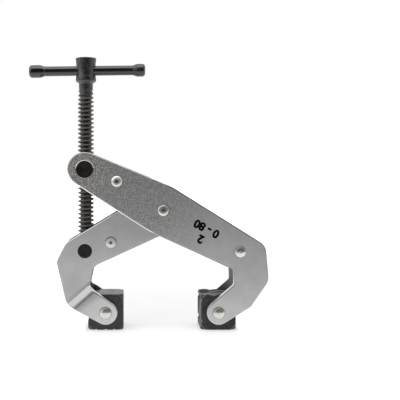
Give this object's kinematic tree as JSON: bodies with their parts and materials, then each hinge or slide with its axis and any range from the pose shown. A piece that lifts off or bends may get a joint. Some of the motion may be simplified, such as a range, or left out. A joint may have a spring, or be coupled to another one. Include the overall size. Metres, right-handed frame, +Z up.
{
  "type": "cantilever c-clamp",
  "caption": "Cantilever C-clamp: two arms of paired steel plates cross at a pivot, a screw with a sliding T-bar spreads their ends, and swivelling jaw blocks grip the work.",
  "frame": {"origin": "middle of the clamp's box, on the surface that its two jaws stand on", "axes": "+X from the screw towards the far jaw, +Y across the arms away from the viewer, +Z up along the screw"},
  "size_m": [0.1418, 0.0294, 0.1616],
  "materials": {
    "arm_steel": "satin zinc-plated sheet steel",
    "rivet_steel": "bright riveted steel",
    "spacer_steel": "turned steel",
    "black_steel": "black oxide steel",
    "black_bar": "glossy black steel",
    "jaw_steel": "black oxide forged steel"
  },
  "bodies": {
    "lower_arm": {"lower_arm_front_plate": "arm_steel", "lower_arm_rear_plate": "arm_steel", "lower_stay_rivet": "rivet_steel", "lower_stay_spacer": "spacer_steel", "pivot_spacer": "spacer_steel", "left_jaw_rivet": "rivet_steel"},
    "upper_arm": {"upper_arm_front_plate": "arm_steel", "upper_arm_rear_plate": "arm_steel", "pivot_pin": "rivet_steel", "upper_stay_rivet_left": "rivet_steel", "upper_stay_spacer_left": "spacer_steel", "upper_stay_rivet_right": "rivet_steel", "upper_stay_spacer_right": "spacer_steel", "right_jaw_rivet": "rivet_steel"},
    "nut_trunnion": {"nut_trunnion": "black_steel"},
    "thrust_trunnion": {"thrust_trunnion": "black_steel"},
    "screw": {"clamp_screw": "black_steel", "screw_retaining_ring": "spacer_steel"},
    "handle": {"handle_bar": "black_bar", "handle_end_knob": "black_bar"},
    "left_jaw": {"left_jaw": "jaw_steel"},
    "right_jaw": {"right_jaw": "jaw_steel"}
  },
  "joints": [
    {"name": "screw_turn", "type": "hinge", "parent": "thrust_trunnion", "child": "screw", "pos_m": [-0.03679, 0, 0.0464], "axis": [0, 0, -1], "range_deg": [-3376.35, 3929.85]},
    {"name": "arm_pivot", "type": "hinge", "parent": "lower_arm", "child": "upper_arm", "pos_m": [0.00921, 0, 0.0705], "axis": [0, 1, 0], "range_deg": [-30.5, 35.5]},
    {"name": "thrust_trunnion_turn", "type": "hinge", "parent": "lower_arm", "child": "thrust_trunnion", "pos_m": [-0.03679, 0, 0.0464], "axis": [0, 1, 0], "range_deg": [-15.25, 17.75]},
    {"name": "nut_trunnion_turn", "type": "hinge", "parent": "upper_arm", "child": "nut_trunnion", "pos_m": [-0.03679, 0, 0.0946], "axis": [0, 1, 0], "range_deg": [-17.75, 15.25]},
    {"name": "handle_slide", "type": "slide", "parent": "screw", "child": "handle", "axis": [0.9999, 0, 0.0122], "range_m": [-0.02175, 0.01835]},
    {"name": "left_jaw_swivel", "type": "hinge", "parent": "lower_arm", "child": "left_jaw", "pos_m": [-0.02449, 0, 0.0105], "axis": [0, 1, 0], "continuous": true},
    {"name": "right_jaw_swivel", "type": "hinge", "parent": "upper_arm", "child": "right_jaw", "pos_m": [0.04171, 0, 0.0105], "axis": [0, 1, 0], "continuous": true}
  ],
  "couplings": [
    {"joint": "arm_pivot", "follows": "screw_turn", "ratio": 0.0090334},
    {"joint": "thrust_trunnion_turn", "follows": "screw_turn", "ratio": 0.0045167},
    {"joint": "nut_trunnion_turn", "follows": "screw_turn", "ratio": -0.0045167}
  ]
}
